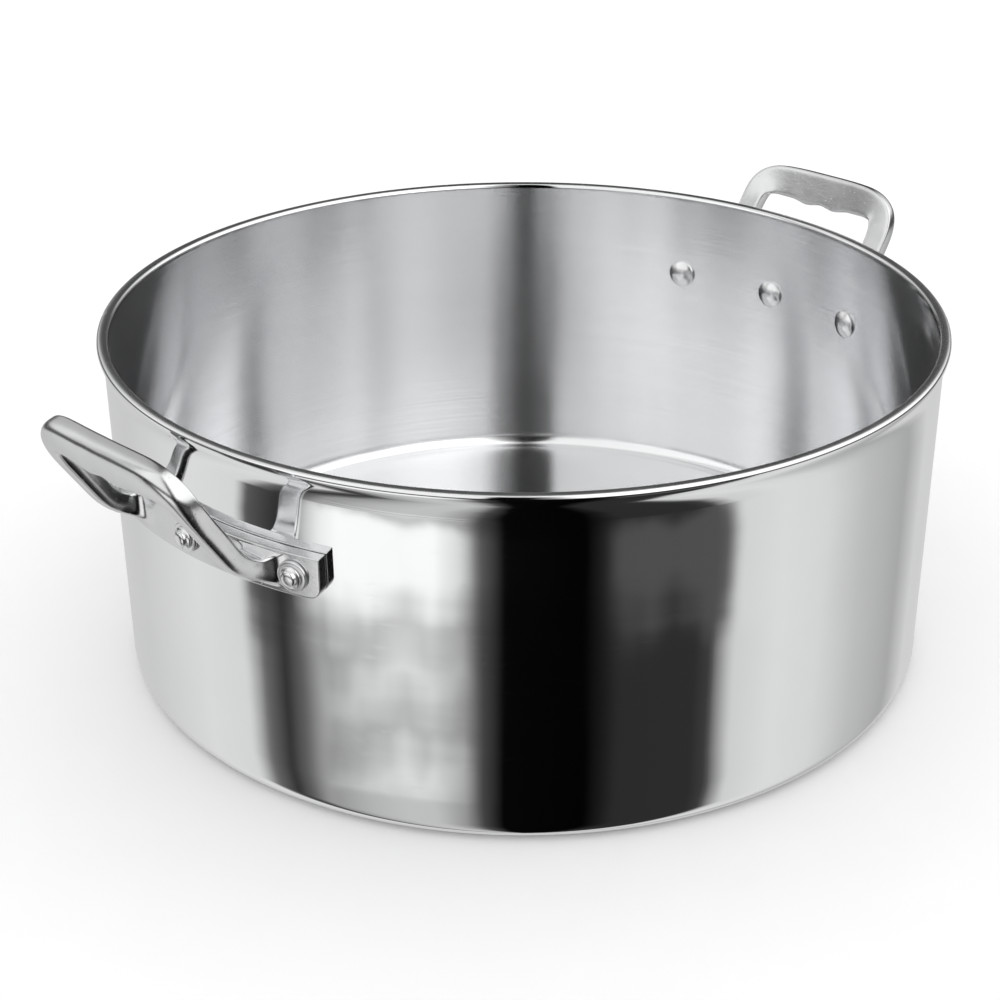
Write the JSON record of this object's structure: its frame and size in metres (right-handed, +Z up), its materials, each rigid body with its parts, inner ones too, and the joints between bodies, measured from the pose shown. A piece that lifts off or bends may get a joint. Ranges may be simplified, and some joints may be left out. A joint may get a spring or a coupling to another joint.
{
  "type": "brew kettle",
  "caption": "Wide, low round kettle of bare aluminium with an open top, a flat base, a rolled rim and riveted cast loop handles.",
  "frame": {"origin": "middle of the kettle's underside, on the surface it stands on", "axes": "+Z up, +X towards handle_right, so that the handles lie along X"},
  "size_m": [0.494, 0.4, 0.1786],
  "materials": {
    "polished_aluminium": "mirror-polished outside, fine circumferential satin brushing inside",
    "cast_aluminium": "tumbled and polished casting with soft edges",
    "rivet_aluminium": "bright, lightly peened heads",
    "washer_aluminium": "bright turned face"
  },
  "bodies": {
    "root": {"kettle_shell": "polished_aluminium", "handle_right": "cast_aluminium", "handle_left": "cast_aluminium", "rivet_right_front": "rivet_aluminium", "rivet_right_middle": "rivet_aluminium", "rivet_right_back": "rivet_aluminium", "rivet_left_front": "rivet_aluminium", "rivet_left_middle": "rivet_aluminium", "rivet_left_back": "rivet_aluminium", "washer_right_front": "washer_aluminium", "washer_right_middle": "washer_aluminium", "washer_right_back": "washer_aluminium", "washer_left_front": "washer_aluminium", "washer_left_middle": "washer_aluminium", "washer_left_back": "washer_aluminium"}
  },
  "joints": []
}
